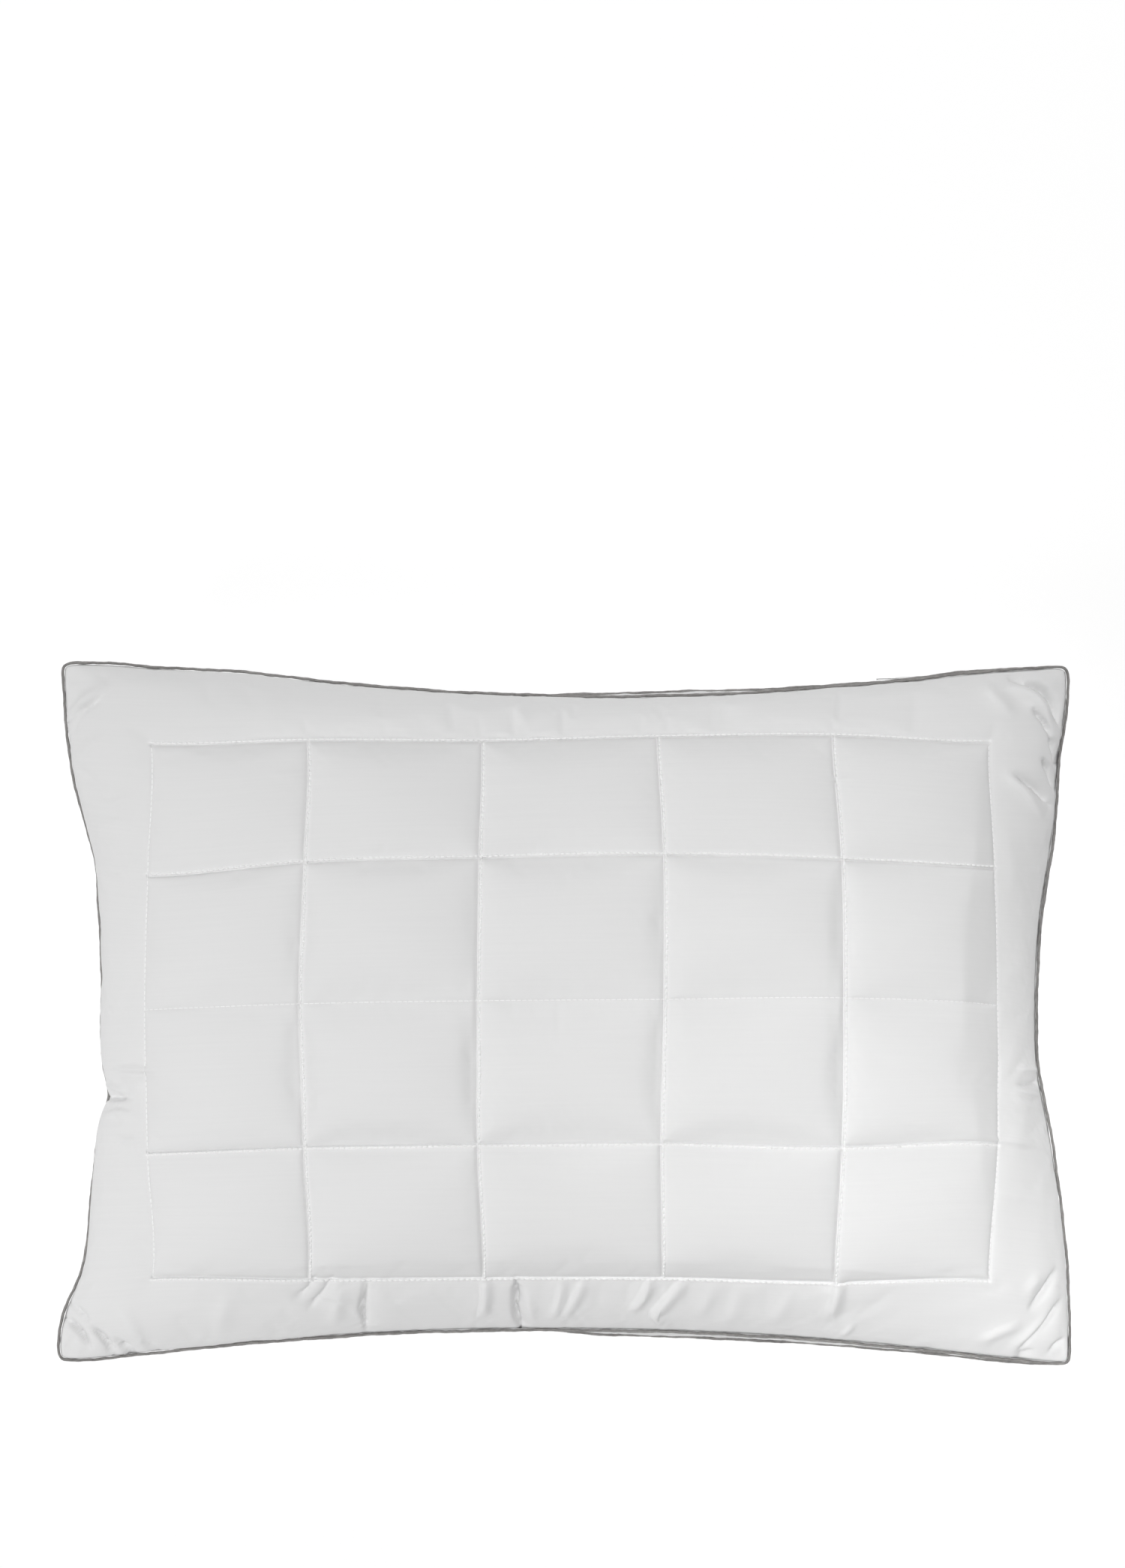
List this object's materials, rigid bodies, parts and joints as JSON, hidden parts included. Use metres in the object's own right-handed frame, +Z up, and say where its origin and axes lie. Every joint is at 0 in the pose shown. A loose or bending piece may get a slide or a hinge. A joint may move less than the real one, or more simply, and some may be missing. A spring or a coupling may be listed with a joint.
{
  "type": "bed pillow",
  "caption": "Quilted boxed bed pillow, filled and sewn shut, with grey corded piping on both seams of a narrow white gusset.",
  "frame": {"origin": "under the middle of the pillow, on the surface that it lies on", "axes": "+X along the long sides, +Y across to the side shown at the top of the picture, +Z up out of the front panel"},
  "size_m": [0.6898, 0.4788, 0.1483],
  "materials": {
    "cover_fabric": "plain fine cotton weave, faint sheen",
    "gusset_fabric": "plain fine cotton weave",
    "piping_fabric": "grey satin bias strip",
    "piping_cord": "twisted cotton cord",
    "wadding": "bonded polyester wadding",
    "lining": "thin non-woven backing",
    "quilt_thread": "white polyester thread",
    "seam_thread": "white polyester thread",
    "fibre_fill": "loose polyester fibre",
    "label_satin": "blank woven satin ribbon"
  },
  "bodies": {
    "root": {"care_label": "label_satin", "closing_seam_thread": "seam_thread", "fibre_fill": "fibre_fill", "front_column_thread_1": "quilt_thread", "front_column_thread_2": "quilt_thread", "front_column_thread_3": "quilt_thread", "front_column_thread_4": "quilt_thread", "front_cover": "cover_fabric", "front_frame_thread": "quilt_thread", "front_lining": "lining", "front_piping_cord": "piping_cord", "front_piping_cover": "piping_fabric", "front_row_thread_1": "quilt_thread", "front_row_thread_2": "quilt_thread", "front_row_thread_3": "quilt_thread", "front_seam_thread": "seam_thread", "front_wadding": "wadding", "gusset_band": "gusset_fabric", "rear_column_thread_1": "quilt_thread", "rear_column_thread_2": "quilt_thread", "rear_column_thread_3": "quilt_thread", "rear_column_thread_4": "quilt_thread", "rear_cover": "cover_fabric", "rear_frame_thread": "quilt_thread", "rear_lining": "lining", "rear_piping_cord": "piping_cord", "rear_piping_cover": "piping_fabric", "rear_row_thread_1": "quilt_thread", "rear_row_thread_2": "quilt_thread", "rear_row_thread_3": "quilt_thread", "rear_seam_thread": "seam_thread", "rear_wadding": "wadding"}
  },
  "joints": []
}
